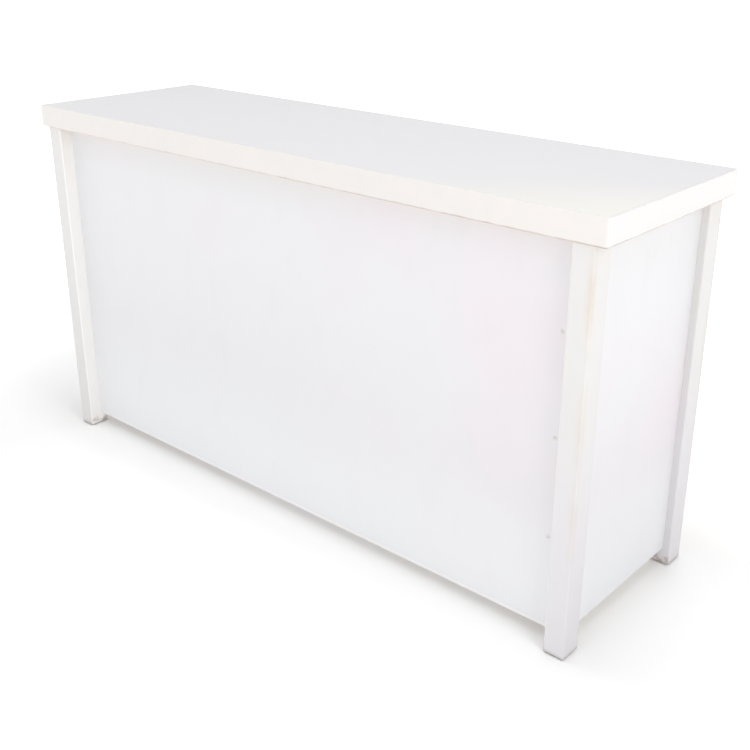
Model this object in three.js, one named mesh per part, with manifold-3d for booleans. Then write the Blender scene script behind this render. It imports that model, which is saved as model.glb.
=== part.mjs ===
// Folding portable bar: a lift-off counter top on a fixed front frame with two end frames that fold in behind it.
// Millimetres. +X runs along the counter, +Y to the serving side, +Z up. The origin is on the floor under the
// middle of the counter top.
import * as THREE from "three";
import { mergeVertices } from "three/addons/utils/BufferGeometryUtils.js";
import Module from "manifold-3d";

const wasm = await Module();
wasm.setup();

// Overall size and the counter top
const TOP_LENGTH = 2000;
const TOP_DEPTH = 600;
const BAR_HEIGHT = 1080;
const TOP_THICKNESS = 65;
const TOP_BOARD = 18;
const TOP_ARRIS = 6;
const LONG_STRIP_WIDTH = 72;
const END_STRIP_WIDTH = 88;
const BATTEN_WIDTH = 60;
const BATTEN_SPREAD = 660;

// Posts and how far the counter top overhangs them
const END_OVERHANG = 28;
const FRONT_OVERHANG = 6;
const REAR_OVERHANG = 2;
const POST_WIDTH = 56;
const POST_DEPTH = 66;
const POST_ARRIS = 4;
const GLIDE_THICKNESS = 4;
const GLIDE_RADIUS = 22;

// Panels and the battens behind them
const PANEL_THICKNESS = 6;
const FRONT_RECESS = 41;
const END_RECESS = 20;
const FRONT_BATTEN = 18;
const RAIL_HEIGHT = 70;
const STILE_WIDTH = 60;
const FRONT_RAIL_LIFT = 32;
const FRONT_PANEL_LIFT = 46;
const END_LIFT = 49;
const FRAME_TOP_GAP = 5;

// Screws through the front panel
const SCREW_INSET = 32;
const SCREW_TOP = 799;
const SCREW_PITCH = 256;
const SCREW_HEAD_RADIUS = 4;
const SCREW_SHANK_RADIUS = 2;
const SCREW_LENGTH = 19;

// Locating pegs between the front posts and the counter top
const PEG_RADIUS = 6;
const PEG_SUNK = 25;
const PEG_SHOWN = 24;

// Hinges
const HINGE_OFFSET = 5;
const KNUCKLE_RADIUS = 4.5;
const PIN_RADIUS = 1.7;
const LEAF_THICKNESS = 2;
const LEAF_WIDTH = 25;
const END_HINGE_LENGTH = 100;
const END_HINGE_INSET = 130;
const BRACKET_HINGE_LENGTH = 180;
const SHELF_HINGE_LENGTH = 640;

// Fold-up shelf and its swing brackets
const SHELF_HEIGHT = 620;
const SHELF_WIDTH = 720;
const SHELF_DEPTH = 340;
const SHELF_THICKNESS = 18;
const SHELF_ARRIS = 5;
const SHELF_RAIL_BELOW = 60;
const SHELF_RAIL_ABOVE = 45;
const BRACKET_SPREAD = 600;
const BRACKET_THICKNESS = 18;
const BRACKET_REACH = 280;
const BRACKET_DROP = 320;
const BRACKET_NOSE = 40;
const BRACKET_HEEL = 50;

// Clearances
const RUN_GAP = 0.6;
const FIT_GAP = 0.3;
const REST_GAP = 0.5;

// Planes that the sizes above give
const underTop = BAR_HEIGHT - TOP_THICKNESS;
const frameTop = underTop - FRAME_TOP_GAP;
const postOut = TOP_LENGTH / 2 - END_OVERHANG;
const postIn = postOut - POST_WIDTH;
const frontY = -TOP_DEPTH / 2 + FRONT_OVERHANG;
const frontPostBack = frontY + POST_DEPTH;
const rearY = TOP_DEPTH / 2 - REAR_OVERHANG;
const rearPostFront = rearY - POST_DEPTH;
const panelFront = frontY + FRONT_RECESS;
const panelBack = panelFront + PANEL_THICKNESS;
const battenBack = panelBack + FRONT_BATTEN;
const endPanelOut = postOut - END_RECESS;
const endPanelIn = endPanelOut - PANEL_THICKNESS;
const endFrontY = Math.max(frontPostBack, battenBack) + RUN_GAP;
const axisY = battenBack + HINGE_OFFSET;
const shelfUnder = SHELF_HEIGHT - SHELF_THICKNESS;
const bracketTop = shelfUnder - REST_GAP;
const shelfRailLow = SHELF_HEIGHT - SHELF_RAIL_BELOW;
const shelfRailHigh = SHELF_HEIGHT + SHELF_RAIL_ABOVE;

// Finishes
const PAINT = { color: 0xe9e7e3, roughness: 0.5, metalness: 0 };
const LAMINATE = { color: 0xeeeeec, roughness: 0.35, metalness: 0 };
const PRIMED = { color: 0xdcd8cf, roughness: 0.65, metalness: 0 };
const STEEL = { color: 0xb4b3ae, roughness: 0.35, metalness: 1 };
const NYLON = { color: 0x2b2b2d, roughness: 0.6, metalness: 0 };
const BEECH = { color: 0xc8a676, roughness: 0.6, metalness: 0 };

// Turns a three.js geometry into a closed solid that can be cut and joined.
function solid(geometry) {
  const plain = geometry.index ? geometry.toNonIndexed() : geometry.clone();
  plain.deleteAttribute("normal");
  plain.deleteAttribute("uv");
  const merged = mergeVertices(plain, 1e-4);
  return new wasm.Manifold(
    new wasm.Mesh({
      numProp: 3,
      vertProperties: new Float32Array(merged.attributes.position.array),
      triVerts: new Uint32Array(merged.index.array),
    }),
  );
}

// Turns a closed solid back into a three.js geometry.
function geometryOf(body) {
  const mesh = body.getMesh();
  const geometry = new THREE.BufferGeometry();
  geometry.setAttribute("position", new THREE.BufferAttribute(mesh.vertProperties, 3));
  geometry.setIndex(new THREE.BufferAttribute(mesh.triVerts, 1));
  geometry.computeVertexNormals();
  return geometry;
}

function joined(geometries) {
  return geometryOf(wasm.Manifold.union(geometries.map(solid)));
}

function cut(geometry, tools) {
  return geometryOf(tools.reduce((left, tool) => left.subtract(solid(tool)), solid(geometry)));
}

// A block between two values on each axis, in either order.
function block(xa, xb, ya, yb, za, zb) {
  const box = new THREE.BoxGeometry(Math.abs(xb - xa), Math.abs(yb - ya), Math.abs(zb - za));
  return box.translate((xa + xb) / 2, (ya + yb) / 2, (za + zb) / 2);
}

function rod(radius, za, zb, segments = 20) {
  const cylinder = new THREE.CylinderGeometry(radius, radius, zb - za, segments);
  return cylinder.rotateX(Math.PI / 2).translate(0, 0, (za + zb) / 2);
}

// A turned piece about the Z axis from radius and height pairs, listed from the bottom up.
function turned(profile, segments = 24) {
  const lathe = new THREE.LatheGeometry(
    profile.map(([r, z]) => new THREE.Vector2(r, z)),
    segments,
  );
  return lathe.rotateX(Math.PI / 2);
}

function roundedRectangle(xa, xb, ya, yb, radius) {
  const shape = new THREE.Shape();
  shape.moveTo(xa + radius, ya);
  shape.lineTo(xb - radius, ya);
  shape.absarc(xb - radius, ya + radius, radius, -Math.PI / 2, 0);
  shape.lineTo(xb, yb - radius);
  shape.absarc(xb - radius, yb - radius, radius, 0, Math.PI / 2);
  shape.lineTo(xa + radius, yb);
  shape.absarc(xa + radius, yb - radius, radius, Math.PI / 2, Math.PI);
  shape.lineTo(xa, ya + radius);
  shape.absarc(xa + radius, ya + radius, radius, Math.PI, Math.PI * 1.5);
  return shape;
}

// A profile of a board seen along its edge, with its two upper corners rounded.
function crownedEdge(ua, ub, za, zb, radius) {
  const shape = new THREE.Shape();
  shape.moveTo(ua, za);
  shape.lineTo(ub, za);
  shape.lineTo(ub, zb - radius);
  shape.absarc(ub - radius, zb - radius, radius, 0, Math.PI / 2);
  shape.lineTo(ua + radius, zb);
  shape.absarc(ua + radius, zb - radius, radius, Math.PI / 2, Math.PI);
  return shape;
}

function extrude(shape, depth, curveSegments = 4) {
  return new THREE.ExtrudeGeometry(shape, { depth, curveSegments, bevelEnabled: false });
}

// A board whose upper arrises are rounded on all four sides.
function crownedBoard(length, depth, za, zb, radius) {
  const long = extrude(crownedEdge(-length / 2, length / 2, za, zb, radius), depth);
  long.applyMatrix4(new THREE.Matrix4().set(1, 0, 0, 0, 0, 0, -1, depth / 2, 0, 1, 0, 0, 0, 0, 0, 1));
  const side = extrude(crownedEdge(-depth / 2, depth / 2, za, zb, radius), length);
  side.applyMatrix4(new THREE.Matrix4().set(0, 0, 1, -length / 2, 1, 0, 0, 0, 0, 1, 0, 0, 0, 0, 0, 1));
  return geometryOf(solid(long).intersect(solid(side)));
}

function post(side, ya, yb, za, zb) {
  const [xa, xb] = side > 0 ? [postIn, postOut] : [-postOut, -postIn];
  const shape = roundedRectangle(xa, xb, ya, yb, POST_ARRIS);
  return extrude(shape, zb - za).translate(0, 0, za);
}

// A hinge about its own Z axis, open at a right angle. The fixed leaf lies on the plane y = -HINGE_OFFSET and
// reaches to -X, the moving leaf lies on the plane x = HINGE_OFFSET and reaches to +Y.
function hinge(length, knuckles) {
  const pitch = length / knuckles;
  const start = KNUCKLE_RADIUS + RUN_GAP;
  const end = start + LEAF_WIDTH;
  const fixed = [rod(PIN_RADIUS, -length / 2, length / 2, 12)];
  const moving = [];
  const bores = [];
  const low = HINGE_OFFSET - LEAF_THICKNESS;
  fixed.push(block(-end, -start, -HINGE_OFFSET, -low, -length / 2, length / 2));
  moving.push(block(low, HINGE_OFFSET, start, end, -length / 2, length / 2));
  for (let i = 0; i < knuckles; i += 1) {
    const za = -length / 2 + i * pitch + (i > 0 ? FIT_GAP : 0);
    const zb = -length / 2 + (i + 1) * pitch - (i < knuckles - 1 ? FIT_GAP : 0);
    const barrel = rod(KNUCKLE_RADIUS, za, zb, 16);
    if (i % 2 === 0) {
      fixed.push(barrel);
      fixed.push(block(-end, 0, -HINGE_OFFSET, -low, za, zb));
    } else {
      moving.push(barrel);
      moving.push(block(low, HINGE_OFFSET, 0, end, za, zb));
      bores.push(rod(PIN_RADIUS + FIT_GAP, za - 1, zb + 1, 12));
    }
  }
  return { fixed: joined(fixed), moving: cut(joined(moving), bores) };
}

// Mirrors a geometry across the plane x = 0 and keeps its faces outward.
function mirrored(geometry) {
  const body = solid(geometry).mirror([1, 0, 0]);
  return geometryOf(body);
}

function sided(side, geometry) {
  return side > 0 ? geometry : mirrored(geometry);
}

const root = new THREE.Group();
root.name = "folding_portable_bar";

function body(name) {
  const group = new THREE.Group();
  group.name = `body_${name}`;
  root.add(group);
  return group;
}

function add(group, name, geometry, finish) {
  const mesh = new THREE.Mesh(geometry, new THREE.MeshStandardMaterial(finish));
  mesh.name = name;
  group.add(mesh);
}

const SIDES = [
  ["left", -1],
  ["right", 1],
];

const frontFrame = body("front_frame");
const counterTop = body("counter_top");
const shelf = body("shelf");

// A countersunk screw pointing to +Y, with its head flush with the front panel.
function screw(x, z, gap) {
  const head = SCREW_HEAD_RADIUS + gap;
  const shank = SCREW_SHANK_RADIUS + gap;
  const sink = SCREW_HEAD_RADIUS - SCREW_SHANK_RADIUS;
  const tip = SCREW_LENGTH + gap;
  const profile = [
    [0, -tip],
    [shank, -tip + shank],
    [shank, -sink - gap],
    [head, -gap],
    [head, gap],
    [0, gap],
  ];
  const outline = gap > 0 ? profile : profile.filter((_, i) => i !== 4);
  return turned(outline, 12).rotateX(Math.PI / 2).translate(x, panelFront, z);
}

const screwHeights = [0, 1, 2].map((i) => SCREW_TOP - i * SCREW_PITCH);

// Front frame: posts, pegs, glides and stiles on both sides
const panelScrews = [];
for (const [label, side] of SIDES) {
  const postCentreX = side * (postIn + postOut) / 2;
  const postCentreY = frontY + POST_DEPTH / 2;
  const pegHole = rod(PEG_RADIUS + FIT_GAP, underTop - PEG_SUNK - FIT_GAP, underTop + 1);
  pegHole.translate(postCentreX, postCentreY, 0);
  const frontPost = post(side, frontY, frontPostBack, GLIDE_THICKNESS, underTop);
  add(frontFrame, `front_post_${label}`, cut(frontPost, [pegHole]), PAINT);

  const pegTop = underTop + PEG_SHOWN;
  const peg = turned([
    [0, underTop - PEG_SUNK],
    [PEG_RADIUS, underTop - PEG_SUNK],
    [PEG_RADIUS, pegTop - PEG_RADIUS / 2],
    [PEG_RADIUS / 2, pegTop],
    [0, pegTop],
  ]);
  add(frontFrame, `locating_peg_${label}`, peg.translate(postCentreX, postCentreY, 0), BEECH);

  const glide = glideUnder(postCentreX, postCentreY);
  add(frontFrame, `foot_glide_front_${label}`, glide, NYLON);

  const stileLow = FRONT_RAIL_LIFT + RAIL_HEIGHT;
  const stileHigh = frameTop - RAIL_HEIGHT;
  const stile = block(
    side * (postIn - STILE_WIDTH), side * postIn, panelBack, battenBack, stileLow, stileHigh);
  const holes = screwHeights.map((z) => screw(side * (postIn - SCREW_INSET), z, FIT_GAP));
  add(frontFrame, `front_stile_${label}`, cut(stile, holes), PRIMED);
  screwHeights.forEach((z, i) => {
    const x = side * (postIn - SCREW_INSET);
    panelScrews.push(screw(x, z, FIT_GAP));
    add(frontFrame, `panel_screw_${label}_${i + 1}`, screw(x, z, 0), STEEL);
  });
}

function glideUnder(x, y) {
  const glide = turned([
    [0, 0],
    [GLIDE_RADIUS - GLIDE_THICKNESS / 2, 0],
    [GLIDE_RADIUS, GLIDE_THICKNESS / 2],
    [GLIDE_RADIUS, GLIDE_THICKNESS],
    [0, GLIDE_THICKNESS],
  ]);
  return glide.translate(x, y, 0);
}

// Front panel and the rails behind it
const frontPanel = block(-postIn, postIn, panelFront, panelBack, FRONT_PANEL_LIFT, frameTop);
add(frontFrame, "front_panel", cut(frontPanel, panelScrews), PAINT);
add(frontFrame, "front_top_rail",
  block(-postIn, postIn, panelBack, battenBack, frameTop - RAIL_HEIGHT, frameTop), PRIMED);
add(frontFrame, "front_bottom_rail",
  block(-postIn, postIn, panelBack, battenBack, FRONT_RAIL_LIFT, FRONT_RAIL_LIFT + RAIL_HEIGHT), PRIMED);
const stileIn = postIn - STILE_WIDTH;
add(frontFrame, "shelf_rail",
  block(-stileIn, stileIn, panelBack, battenBack, shelfRailLow, shelfRailHigh), PRIMED);

// End frames
const endHinge = hinge(END_HINGE_LENGTH, 3);
const hingeHeights = [
  ["lower", END_LIFT + END_HINGE_INSET],
  ["upper", frameTop - END_HINGE_INSET],
];
for (const [label, side] of SIDES) {
  const end = body(`${label}_end`);
  const low = END_LIFT + RAIL_HEIGHT;
  const high = frameTop - RAIL_HEIGHT;
  const stileBack = endFrontY + STILE_WIDTH;
  add(end, `end_panel_${label}`,
    block(side * endPanelIn, side * endPanelOut, endFrontY, rearPostFront, END_LIFT, frameTop), PAINT);
  add(end, `rear_post_${label}`,
    post(side, rearPostFront, rearY, GLIDE_THICKNESS, underTop - REST_GAP), PAINT);
  add(end, `end_stile_${label}`,
    block(side * postIn, side * endPanelIn, endFrontY, stileBack, END_LIFT, frameTop), PRIMED);
  add(end, `end_top_rail_${label}`,
    block(side * postIn, side * endPanelIn, stileBack, rearPostFront, high, frameTop), PRIMED);
  add(end, `end_bottom_rail_${label}`,
    block(side * postIn, side * endPanelIn, stileBack, rearPostFront, END_LIFT, low), PRIMED);
  const glideX = side * (postIn + postOut) / 2;
  add(end, `foot_glide_rear_${label}`, glideUnder(glideX, rearY - POST_DEPTH / 2), NYLON);
  for (const [place, z] of hingeHeights) {
    const at = [postIn - HINGE_OFFSET, axisY, z];
    const fixedLeaf = sided(side, endHinge.fixed.clone().translate(...at));
    const movingLeaf = sided(side, endHinge.moving.clone().translate(...at));
    add(frontFrame, `hinge_${place}_${label}_fixed_leaf`, fixedLeaf, STEEL);
    add(end, `hinge_${place}_${label}_moving_leaf`, movingLeaf, STEEL);
  }
}

// Counter top: a board on build-up strips, with sockets over the pegs
const stripTop = BAR_HEIGHT - TOP_BOARD;
const halfLength = TOP_LENGTH / 2;
const halfDepth = TOP_DEPTH / 2;
const sockets = SIDES.map(([, side]) => {
  const socket = rod(PEG_RADIUS + FIT_GAP, underTop - 1, underTop + PEG_SHOWN + 1);
  return socket.translate(side * (postIn + postOut) / 2, frontY + POST_DEPTH / 2, 0);
});
const stripInY = halfDepth - LONG_STRIP_WIDTH;
const frontStrip = block(-halfLength, halfLength, -halfDepth, -stripInY, underTop, stripTop);
add(counterTop, "top_board", crownedBoard(TOP_LENGTH, TOP_DEPTH, stripTop, BAR_HEIGHT, TOP_ARRIS), LAMINATE);
add(counterTop, "top_front_strip", cut(frontStrip, sockets), PAINT);
add(counterTop, "top_rear_strip",
  block(-halfLength, halfLength, stripInY, halfDepth, underTop, stripTop), PAINT);
for (const [label, side] of SIDES) {
  const inside = side * (halfLength - END_STRIP_WIDTH);
  add(counterTop, `top_end_strip_${label}`,
    block(inside, side * halfLength, -stripInY, stripInY, underTop, stripTop), PAINT);
  const middle = side * BATTEN_SPREAD / 2;
  add(counterTop, `top_cross_batten_${label}`,
    block(middle - BATTEN_WIDTH / 2, middle + BATTEN_WIDTH / 2, -stripInY, stripInY, underTop, stripTop), PRIMED);
}

// Fold-up shelf
const shelfFront = battenBack + RUN_GAP;
const shelfBoard = roundedRectangle(
  -SHELF_WIDTH / 2, SHELF_WIDTH / 2, shelfFront, shelfFront + SHELF_DEPTH, SHELF_ARRIS);
add(shelf, "shelf_board", extrude(shelfBoard, SHELF_THICKNESS).translate(0, 0, shelfUnder), PRIMED);
const shelfHinge = hinge(SHELF_HINGE_LENGTH, 7);
const shelfAxis = [0, axisY, SHELF_HEIGHT + HINGE_OFFSET];
add(frontFrame, "shelf_hinge_fixed_leaf",
  shelfHinge.fixed.clone().rotateY(Math.PI / 2).translate(...shelfAxis), STEEL);
add(shelf, "shelf_hinge_moving_leaf",
  shelfHinge.moving.clone().rotateY(Math.PI / 2).translate(...shelfAxis), STEEL);

// Swing brackets under the shelf
const bracketHinge = hinge(BRACKET_HINGE_LENGTH, 3);
const bracketIn = BRACKET_SPREAD / 2;
const bracketFoot = bracketTop - BRACKET_DROP;
for (const [label, side] of SIDES) {
  const bracket = body(`${label}_bracket`);
  const outline = new THREE.Shape();
  outline.moveTo(shelfFront, bracketFoot);
  outline.lineTo(shelfFront + BRACKET_HEEL, bracketFoot);
  outline.lineTo(shelfFront + BRACKET_REACH, bracketTop - BRACKET_NOSE);
  outline.lineTo(shelfFront + BRACKET_REACH, bracketTop);
  outline.lineTo(shelfFront, bracketTop);
  const plate = extrude(outline, BRACKET_THICKNESS);
  plate.applyMatrix4(new THREE.Matrix4().set(0, 0, 1, bracketIn, 1, 0, 0, 0, 0, 1, 0, 0, 0, 0, 0, 1));
  add(bracket, `shelf_bracket_${label}`, sided(side, plate), PRIMED);
  const at = [bracketIn - HINGE_OFFSET, axisY, (bracketTop + bracketFoot) / 2];
  add(frontFrame, `bracket_hinge_${label}_fixed_leaf`,
    sided(side, bracketHinge.fixed.clone().translate(...at)), STEEL);
  add(bracket, `bracket_hinge_${label}_moving_leaf`,
    sided(side, bracketHinge.moving.clone().translate(...at)), STEEL);
  const stileOut = side * (bracketIn + BRACKET_THICKNESS);
  const stileInner = side * (bracketIn - HINGE_OFFSET - KNUCKLE_RADIUS - LEAF_WIDTH - RUN_GAP * 2);
  add(frontFrame, `bracket_stile_${label}`,
    block(stileInner, stileOut, panelBack, battenBack, FRONT_RAIL_LIFT + RAIL_HEIGHT, shelfRailLow), PRIMED);
}

export default root;
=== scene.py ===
import math

import bmesh
import bpy
from mathutils import Matrix, Vector


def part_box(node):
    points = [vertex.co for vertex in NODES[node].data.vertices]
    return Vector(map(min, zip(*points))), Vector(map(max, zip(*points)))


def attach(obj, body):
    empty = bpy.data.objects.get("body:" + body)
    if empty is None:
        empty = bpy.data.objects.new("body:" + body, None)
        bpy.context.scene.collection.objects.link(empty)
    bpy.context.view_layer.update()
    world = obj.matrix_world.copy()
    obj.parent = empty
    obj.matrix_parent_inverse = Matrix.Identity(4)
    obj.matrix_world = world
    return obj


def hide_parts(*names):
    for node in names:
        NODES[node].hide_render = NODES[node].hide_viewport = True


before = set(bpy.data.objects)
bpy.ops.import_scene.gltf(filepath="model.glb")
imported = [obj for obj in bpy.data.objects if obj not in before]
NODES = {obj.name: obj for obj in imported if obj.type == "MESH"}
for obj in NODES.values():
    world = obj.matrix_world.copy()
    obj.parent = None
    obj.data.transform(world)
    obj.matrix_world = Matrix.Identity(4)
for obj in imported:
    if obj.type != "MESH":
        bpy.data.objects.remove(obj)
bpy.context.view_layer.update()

MM = 0.001
SCENE = bpy.context.scene

# Places taken from the solids
front_post_low, front_post_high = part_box("front_post_right")
rear_post_low, rear_post_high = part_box("rear_post_right")
POST_OUTSIDE = front_post_high.x
POST_INSIDE = front_post_low.x
POST_FRONT = front_post_low.y
POST_REAR = rear_post_high.y
board_low, board_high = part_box("top_board")
front_strip_low, front_strip_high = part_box("top_front_strip")
end_strip_low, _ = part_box("top_end_strip_right")
COUNTER_FACE = board_high.z
COUNTER_CEILING = board_low.z
COUNTER_UNDER = front_strip_low.z
COUNTER_OUTER = (board_high.x, board_high.y)
COUNTER_INNER = (end_strip_low.x, -front_strip_high.y)


# Colour, scale and node helpers

# Inputs of a mix node, where names repeat: how much of the upper, then the lower and upper colour or value
SHARE = 0
UNDER = 6
OVER = 7
UNDER_VALUE = 2
OVER_VALUE = 3


def linear(hex_code):
    """An sRGB hex colour as a linear colour with full alpha."""
    parts = [int(hex_code[i:i + 2], 16) / 255 for i in (1, 3, 5)]
    return tuple(c / 12.92 if c <= 0.04045 else ((c + 0.055) / 1.055) ** 2.4 for c in parts) + (1.0,)


def per_mm(size):
    """Texture scale for a pattern of this size in millimetres, on coordinates in metres."""
    return 1000 / size


def add(tree, kind, inputs, **settings):
    """Adds a node with its settings. An input is a value, a socket, or a node that gives its live output."""
    made = tree.nodes.new(kind)
    for name, value in settings.items():
        setattr(made, name, value)
    for key, value in inputs.items():
        if isinstance(value, bpy.types.Node):
            value = next(socket for socket in value.outputs if socket.enabled)
        if isinstance(value, bpy.types.NodeSocket):
            tree.links.new(value, made.inputs[key])
        else:
            made.inputs[key].default_value = value
    return made


def new_finish(name):
    """An empty material. Returns it with its node tree and the piece's own coordinates."""
    finish = bpy.data.materials.new(name)
    finish.use_nodes = True
    finish.node_tree.nodes.clear()
    coordinates = add(finish.node_tree, "ShaderNodeTexCoord", {})
    return finish, finish.node_tree, coordinates.outputs["Object"]


# Finishes, with the places of their patterns in metres

def arris_rub(tree, place):
    """How near a point is to an outside arris of the posts, from 0 at 20 mm away to 1 on the arris."""
    axes = add(tree, "ShaderNodeSeparateXYZ", {0: place})
    across = add(tree, "ShaderNodeMath", {0: axes.outputs["X"]}, operation="ABSOLUTE")
    side = add(tree, "ShaderNodeMath", {0: across, 1: POST_OUTSIDE}, operation="SUBTRACT")
    front = add(tree, "ShaderNodeMath", {0: axes.outputs["Y"], 1: POST_FRONT}, operation="SUBTRACT")
    rear = add(tree, "ShaderNodeMath", {0: POST_REAR, 1: axes.outputs["Y"]}, operation="SUBTRACT")
    deep = add(tree, "ShaderNodeMath", {0: front, 1: rear}, operation="MINIMUM")
    corner = add(tree, "ShaderNodeCombineXYZ", {"X": side, "Y": deep})
    away = add(tree, "ShaderNodeVectorMath", {0: corner}, operation="LENGTH")
    return add(tree, "ShaderNodeMapRange", {
        "Value": away, "From Min": 20 * MM, "From Max": 1 * MM,
    })


def brushed_enamel():
    """Satin alkyd enamel brushed up planed pine: a soft broad sheen and fine drag marks, with a faintly mauve
    later coat low on the right posts. The faces that turn in towards the panels are painted lighter as
    painted light, the outside arrises are rubbed to a soft yellow brown, and the feet have red brown patches
    low on their sheltered faces and turn greyer within 14 mm of the floor. The real 0.5 mm drag marks are
    drawn 4 mm wide so that they show."""
    finish, tree, place = new_finish("satin_enamel_on_pine")
    axes = add(tree, "ShaderNodeSeparateXYZ", {0: place})
    height = axes.outputs["Z"]
    cloud = add(tree, "ShaderNodeTexNoise", {"Vector": place, "Scale": per_mm(160), "Detail": 3.0})
    colour = add(tree, "ShaderNodeMix", {
        SHARE: cloud, UNDER: linear("#dddbda"), OVER: linear("#dad8d6"),
    }, data_type="RGBA")
    on_the_right = add(tree, "ShaderNodeMapRange", {
        "Value": axes.outputs["X"], "From Min": 0.5, "From Max": 0.9,
    })
    lower_half = add(tree, "ShaderNodeMapRange", {
        "Value": height, "From Min": 0.7, "From Max": 0.3,
    }, interpolation_type="SMOOTHSTEP")
    later_coat = add(tree, "ShaderNodeMath", {0: on_the_right, 1: lower_half}, operation="MULTIPLY")
    colour = add(tree, "ShaderNodeMix", {
        SHARE: later_coat, UNDER: colour, OVER: linear("#dcd9dc"),
    }, data_type="RGBA")

    # Painted light: the faces turned in towards the panels get a lighter white, standing in for the light
    # they catch.
    across = add(tree, "ShaderNodeMath", {0: axes.outputs["X"]}, operation="ABSOLUTE")
    turned_in = add(tree, "ShaderNodeMapRange", {
        "Value": across, "From Min": POST_INSIDE + 3 * MM, "From Max": POST_INSIDE + 1 * MM,
    })
    colour = add(tree, "ShaderNodeMix", {
        SHARE: turned_in, UNDER: colour, OVER: linear("#f5f3f1"),
    }, data_type="RGBA")

    near = arris_rub(tree, place)
    patch_place = add(tree, "ShaderNodeVectorMath", {0: place, 1: (1, 1, 0.4)}, operation="MULTIPLY")
    patch = add(tree, "ShaderNodeTexNoise", {"Vector": patch_place, "Scale": per_mm(90), "Detail": 4.0})
    handled = add(tree, "ShaderNodeMapRange", {
        "Value": height, "From Min": 0.25, "From Max": 0.5, "To Min": 0.1, "To Max": 0.62,
    })
    soft_patch = add(tree, "ShaderNodeMapRange", {"Value": patch, "From Min": 0.3, "From Max": 0.62})
    rub = add(tree, "ShaderNodeMath", {0: near, 1: soft_patch}, operation="MULTIPLY")
    yellowing = add(tree, "ShaderNodeMath", {0: rub, 1: handled}, operation="MULTIPLY")
    colour = add(tree, "ShaderNodeMix", {
        SHARE: yellowing, UNDER: colour, OVER: linear("#d2c6b6"),
    }, data_type="RGBA")

    # Red brown patches low on the sheltered faces of the feet, stronger towards the floor; the same speckle
    # also varies the sheen.
    speckle = add(tree, "ShaderNodeTexNoise", {"Vector": place, "Scale": per_mm(26), "Detail": 5.0})
    low_down = add(tree, "ShaderNodeMapRange", {
        "Value": height, "From Min": 36 * MM, "From Max": 8 * MM, "To Max": 0.65,
    }, interpolation_type="SMOOTHSTEP")
    speckled = add(tree, "ShaderNodeMapRange", {"Value": speckle, "From Min": 0.44, "From Max": 0.56})
    bare = add(tree, "ShaderNodeMath", {0: low_down, 1: speckled}, operation="MULTIPLY")
    past_rear = add(tree, "ShaderNodeMath", {0: axes.outputs["Y"], 1: rear_post_low.y}, operation="SUBTRACT")
    past_rear = add(tree, "ShaderNodeMath", {0: past_rear}, operation="ABSOLUTE")
    facing_end = add(tree, "ShaderNodeMapRange", {
        "Value": past_rear, "From Min": 3 * MM, "From Max": 1 * MM,
    })
    sheltered = add(tree, "ShaderNodeMath", {0: turned_in, 1: facing_end}, operation="MAXIMUM")
    bare = add(tree, "ShaderNodeMath", {0: bare, 1: sheltered}, operation="MULTIPLY")
    colour = add(tree, "ShaderNodeMix", {
        SHARE: bare, UNDER: colour, OVER: linear("#8a6250"),
    }, data_type="RGBA")
    # Greyer within 14 mm of the floor.
    greyer_near_floor = add(tree, "ShaderNodeMapRange", {
        "Value": height, "From Min": 14 * MM, "From Max": 4 * MM, "To Max": 0.45,
    })
    colour = add(tree, "ShaderNodeMix", {
        SHARE: greyer_near_floor, UNDER: colour, OVER: linear("#a39d97"),
    }, data_type="RGBA")

    drag_place = add(tree, "ShaderNodeVectorMath", {0: place, 1: (1, 1, 0.03)}, operation="MULTIPLY")
    drag = add(tree, "ShaderNodeTexNoise", {"Vector": drag_place, "Scale": per_mm(4), "Detail": 3.0})
    sheen = add(tree, "ShaderNodeMapRange", {
        "Value": speckle, "From Min": 0.3, "From Max": 0.75, "To Min": 0.44, "To Max": 0.6,
    })
    relief = add(tree, "ShaderNodeBump", {"Height": drag, "Distance": 0.06 * MM})
    shader = add(tree, "ShaderNodeBsdfPrincipled", {
        "Base Color": colour, "Roughness": sheen, "Normal": relief, "IOR": 1.5,
    })
    add(tree, "ShaderNodeOutputMaterial", {"Surface": shader})
    return finish


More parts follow.
